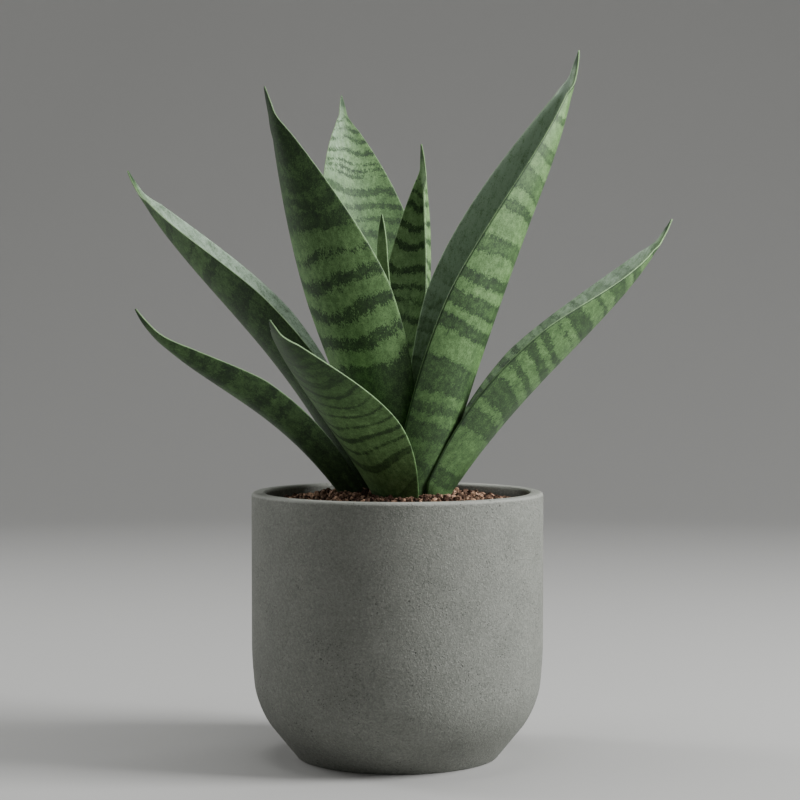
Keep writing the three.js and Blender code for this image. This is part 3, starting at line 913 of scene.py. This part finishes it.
# %% [markdown]
# ## Gravel
# The dressing is crushed lava: light, rough granules of about 2 to 4.5 mm, on a bed that mounds
# towards the leaves. The bed is spun from its outline like the pot. It lies a little under the
# middle of the granules and is painted nearly black, so that only painted shade shows between them.

# %% Gravel bed
BED_RADIUS = 62.7
BED_EDGE = 120
BED_RISE = 7
BED_UNDERSIDE = 116.3
BED_SUNK = 2
BED_RINGS = 4
BED_STEPS = 96


def bed_height(radius):
    """How high the middle of a granule lies at a distance from the axis."""
    return BED_EDGE + BED_RISE * (1 - (radius / BED_RADIUS) ** 2)


bed_body = bmesh.new()
bed_radii = [ring / BED_RINGS * BED_RADIUS for ring in range(BED_RINGS + 1)]
bed_top = [(radius, bed_height(radius) - BED_SUNK) for radius in bed_radii]
wire_path(bed_body, bed_top + [(BED_RADIUS, BED_UNDERSIDE), (0, BED_UNDERSIDE)])
bmesh.ops.scale(bed_body, vec=(MM, MM, MM), verts=bed_body.verts)
spin_round(bed_body, BED_STEPS)
print("bed:", len(bed_body.faces), "faces")

# %% [markdown]
# Lava breaks into rough lumps with blunt corners. A subdivided cube has just enough corners for
# one: each corner is pulled part of the way to a ball, and in or out by chance. A lump has only 24
# faces, because there are far more than a thousand of them. Ten shapes are enough, as every copy
# gets a turn, a size and a tone of its own.

# %% Lava lumps
GRANULE_SHAPES = 10
LUMP_SIDE = 1.15
LUMP_ROUNDNESS = (0.4, 0.8)
LUMP_RADIUS = (0.7, 1.2)


def lump(seed):
    """A dented lump about one unit in radius, of 24 faces."""
    chance = random.Random(seed)
    body = bmesh.new()
    bmesh.ops.create_cube(body, size=LUMP_SIDE)
    bmesh.ops.subdivide_edges(body, edges=body.edges, cuts=1, use_grid_fill=True)
    for point in body.verts:
        round_share = between(LUMP_ROUNDNESS, chance.random())
        rounded = point.co.normalized() * between(LUMP_RADIUS, chance.random())
        point.co = point.co.lerp(rounded, round_share)
    mesh = bpy.data.meshes.new("lump")
    body.to_mesh(mesh)
    body.free()
    return mesh


lumps = [lump(seed) for seed in range(GRANULE_SHAPES)]
print("lumps:", len(lumps), "of", len(lumps[0].polygons), "faces")

# %% [markdown]
# Poured gravel lies close, but in no order. A physics simulation could pour it, and would take
# minutes each time. A sunflower spiral covers a round bed as evenly in no time, and a small shift
# of each granule hides the spiral. The outermost ones are kept within the wall of the pot.

# %% Granule places
GRANULE_SPACING = 2.8
GRANULE_SEED = 11
GRANULE_RADIUS = (1.1, 2.4)
SHIFT_SIDEWAYS = 0.7
SHIFT_DOWN = 1.4
SHIFT_UP = 1.2
# in a close layer a granule takes up this share of a square that is one spacing wide
CLOSE_LAYER = 0.866
GOLDEN_TURN = math.pi * (3 - math.sqrt(5))


def gravel_spots():
    """Place and radius of each granule, and the source of chance for the rest of it."""
    chance = random.Random(GRANULE_SEED)
    count = int((BED_RADIUS / GRANULE_SPACING) ** 2 * math.pi / CLOSE_LAYER)
    for number in range(count):
        size = between(GRANULE_RADIUS, chance.random() ** 2)
        radius = BED_RADIUS * math.sqrt((number + 0.5) / count)
        angle = number * GOLDEN_TURN
        x = radius * math.cos(angle) + chance.uniform(-SHIFT_SIDEWAYS, SHIFT_SIDEWAYS)
        y = radius * math.sin(angle) + chance.uniform(-SHIFT_SIDEWAYS, SHIFT_SIDEWAYS)
        kept_in = min((BED_RADIUS - size) / math.hypot(x, y), 1)
        x, y = x * kept_in, y * kept_in
        z = bed_height(math.hypot(x, y)) + chance.uniform(-SHIFT_DOWN, SHIFT_UP)
        yield Vector((x, y, z)), size, chance


print("places for granules:", sum(1 for _ in gravel_spots()))

# %% [markdown]
# The lumps are copied to those places into one mesh, and none is left inside a leaf. Each granule
# is painted darker towards its underside and lighter on top, as painted shade and light, which sets
# each one off from its neighbours. That tone is kept at the points of the mesh, where the finish
# can read it.

# %% Granules
GRANULE_WIDTHS = (0.6, 1)
GRANULE_FLATNESS = 0.75
# painted shade and light: a granule's tone at its underside and at its top, and how fast it changes
UNDERSIDE_PAINTED_SHADE = 0.55
TOP_PAINTED_LIGHT = 1.1
PAINTED_SHADE_CLIMB = 0.6
# a leaf that is nearer than this share of a granule's radius keeps the granule away
LEAF_GAP_SHARE = 0.9


def scatter_granules(leaf_trees):
    """All granules as a bmesh, with a tone and painted shade at each point, and their count."""
    body = bmesh.new()
    tone = body.verts.layers.float.new("granule_tone")
    made = 0
    for place, size, chance in gravel_spots():
        reach = size * LEAF_GAP_SHARE * MM
        if any(tree.find_nearest(place * MM, reach)[0] for tree in leaf_trees):
            continue
        before = len(body.verts)
        body.from_mesh(chance.choice(lumps))
        body.verts.ensure_lookup_table()
        fresh = body.verts[before:]
        turn = Euler([chance.uniform(0, 2 * math.pi) for _ in range(3)]).to_matrix().to_4x4()
        width = size * chance.uniform(*GRANULE_WIDTHS)
        stretch = Matrix.Diagonal((size, width, size * GRANULE_FLATNESS, 1))
        bmesh.ops.transform(body, verts=fresh, matrix=(
            Matrix.Scale(MM, 4) @ Matrix.Translation(place) @ turn @ stretch))
        shade = chance.random()
        # each granule is painted darker towards its underside and lighter on top, as painted shade
        for point in fresh:
            height = (point.co.z / MM - place.z) / size
            painted_light_share = min(max(height * PAINTED_SHADE_CLIMB + 0.5, 0), 1)
            point[tone] = shade * between((UNDERSIDE_PAINTED_SHADE, TOP_PAINTED_LIGHT), painted_light_share)
        made += 1
    return body, made


def tree_of(piece):
    """A search tree of the faces of a piece."""
    return BVHTree.FromPolygons(
        [point.co for point in piece.data.vertices],
        [face.vertices for face in piece.data.polygons],
    )


granule_body, granule_count = scatter_granules([tree_of(piece) for piece in leaves.values()])
print("granules:", granule_count, "faces:", len(granule_body.faces))

# %% [markdown]
# ## Lava
# Lava rock is rusty brown and full of pores. Every granule has a tone between dark brown and pale
# clay, with painted shade towards its underside, rust lies over it in patches, and the pores are
# sunk and painted dark, as painted shade in the hollows. The bed between the granules is painted
# nearly black, as painted shade, so that the gaps read as deep.

# %% Lava
def lava_finish():
    finish = Finish("lava_rock", Roughness=0.95, Specular_IOR_Level=0.2)
    where = finish.place()
    pores = finish.cloud(where, scale=1600, detail=3, roughness=0.7)
    rust = finish.cloud(where, scale=420, detail=2)
    tone = finish.reading("granule_tone")
    # the tone carries each granule's painted shade towards its underside
    clay = finish.blend(tone * tone, colour(50, 34, 26), colour(226, 184, 154))
    rusty = finish.blend(rust.between(0.4, 0.65) * 0.5, clay, colour(100, 70, 56))
    # the pores are painted dark, as painted shade in their hollows
    porous = finish.blend((1 - pores.between(0.38, 0.5)) * 0.8, rusty, colour(34, 23, 20))
    return finish.surface(
        Base_Color=porous,
        Normal=finish.relief(pores, depth=0.0006, strength=0.9),
    )


def gravel_gap_shade_finish():
    finish = Finish("gravel_gap_shade", Roughness=0.95)
    # the bed is painted nearly black, as painted shade in the gaps between granules
    specks = finish.cloud(finish.place(), scale=900, detail=3)
    return finish.surface(Base_Color=finish.blend(specks, colour(14, 10, 8), colour(52, 36, 30)))


granules = piece_from(granule_body, "lava_granules", lava_finish(), smooth=False)
bed = piece_from(bed_body, "lava_bed", gravel_gap_shade_finish())
for piece in (granules, bed):
    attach(piece, "root")
    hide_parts("gravel")
print("gravel pieces:", granules.name, bed.name)

# %% [markdown]
# ## What the pot hides
# The potting mix and the rootstock stay as measured. They get plain earthy finishes with a grain,
# so that nothing looks unfinished if the plant is ever lifted out.

# %% Hidden fillings
def crumbly_finish(name, deep, pale, scale):
    finish = Finish(name, Roughness=0.95)
    crumbs = finish.cloud(finish.place(), scale=scale, detail=4, roughness=0.65)
    return finish.surface(
        Base_Color=finish.blend(crumbs.between(0.35, 0.65), deep, pale),
        Normal=finish.relief(crumbs, depth=0.001, strength=0.6),
    )


HIDDEN = {
    "potting_mix": crumbly_finish("moist_mix", colour(30, 22, 17), colour(78, 56, 40), 260),
    "rootstock": crumbly_finish("root_bark", colour(150, 88, 44), colour(206, 150, 92), 90),
}
for node_name, material in HIDDEN.items():
    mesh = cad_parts[node_name].data
    mesh.materials.clear()
    mesh.materials.append(material)
print("hidden fillings:", sorted(HIDDEN))

# %% [markdown]
# ## Sizes
# The box round the dressed plant is printed beside the box of the measured one. The two should
# agree within a fraction of a millimetre when the new pieces are true to the sizes.

# %% Sizes
dressed_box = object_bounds()
sizes = {
    "measured": [list(corner) for corner in measured_box],
    "dressed": [list(corner) for corner in dressed_box],
}
print("measured:", sizes["measured"])
print("dressed:", sizes["dressed"])
